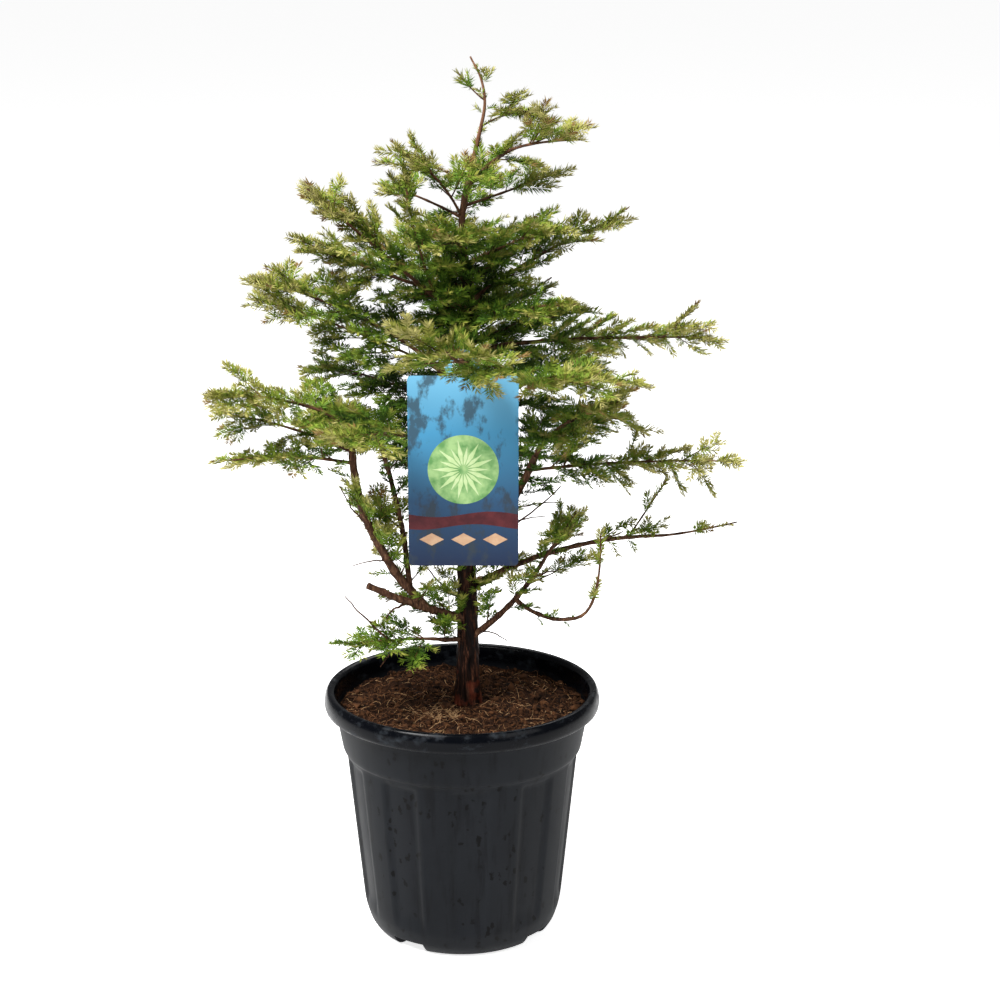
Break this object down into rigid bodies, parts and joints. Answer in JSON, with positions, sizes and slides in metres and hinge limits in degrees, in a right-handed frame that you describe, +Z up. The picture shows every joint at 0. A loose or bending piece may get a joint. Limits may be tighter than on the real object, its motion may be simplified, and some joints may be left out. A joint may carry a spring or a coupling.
{
  "type": "potted dawn redwood",
  "caption": "Young dawn redwood in a black nursery container, with layered feathery boughs on a leaning leader and a plain picture label hung in front.",
  "frame": {"origin": "middle of the pot's flat underside, on the surface that it stands on", "axes": "+Z up along the trunk, +X to the viewer's right, -Y towards the viewer and the label"},
  "size_m": [0.775, 0.6263, 1.2925],
  "materials": {
    "pot_plastic": "dusty satin black",
    "soil": "moist crumbly compost",
    "bark": "rough bark",
    "needles": "soft needles",
    "label_card": "printed card"
  },
  "bodies": {
    "root": {"pot": "pot_plastic", "soil": "soil", "trunk": "bark", "bough_low_left_stub": "bark", "bough_left_rising": "bark", "bough_left_slim": "bark", "bough_low_left": "bark", "bough_low_right": "bark", "bough_low_right_arm": "bark", "bough_right_low": "bark", "bough_right_rising": "bark", "bough_left_mid": "bark", "bough_front_left": "bark", "bough_front": "bark", "bough_right_long": "bark", "bough_left_high": "bark", "bough_upper_right": "bark", "foliage_leader": "needles", "foliage_crest_right": "needles", "foliage_upper_right_front": "needles", "foliage_upper_right_back": "needles", "foliage_upper_left_front": "needles", "foliage_upper_left_back": "needles", "foliage_upper_back": "needles", "foliage_upper_front": "needles", "foliage_left_high": "needles", "foliage_left_erect": "needles", "foliage_right_high": "needles", "foliage_right_high_front": "needles", "foliage_left_high_back": "needles", "foliage_right_inner": "needles", "foliage_back_high": "needles", "foliage_right_mid_front": "needles", "foliage_back_right_high": "needles", "foliage_left_mid": "needles", "foliage_left_mid_back": "needles", "foliage_right_long": "needles", "foliage_front": "needles", "foliage_front_right": "needles", "foliage_front_left": "needles", "foliage_back_mid": "needles", "foliage_left_mid_lower": "needles", "foliage_back_right": "needles", "foliage_left_low": "needles", "foliage_left_low_back": "needles", "foliage_left_low_hanging": "needles", "foliage_left_inner": "needles", "foliage_left_sparse": "needles", "foliage_left_back_low": "needles", "foliage_right_lower_front": "needles", "foliage_right_mid": "needles", "foliage_right_back_low": "needles", "foliage_back_low": "needles", "foliage_low_left": "needles", "foliage_low_right": "needles", "foliage_low_right_arm": "needles", "foliage_right_low": "needles", "foliage_right_low_spray": "needles", "foliage_right_low_upright": "needles", "label": "label_card"}
  },
  "joints": []
}
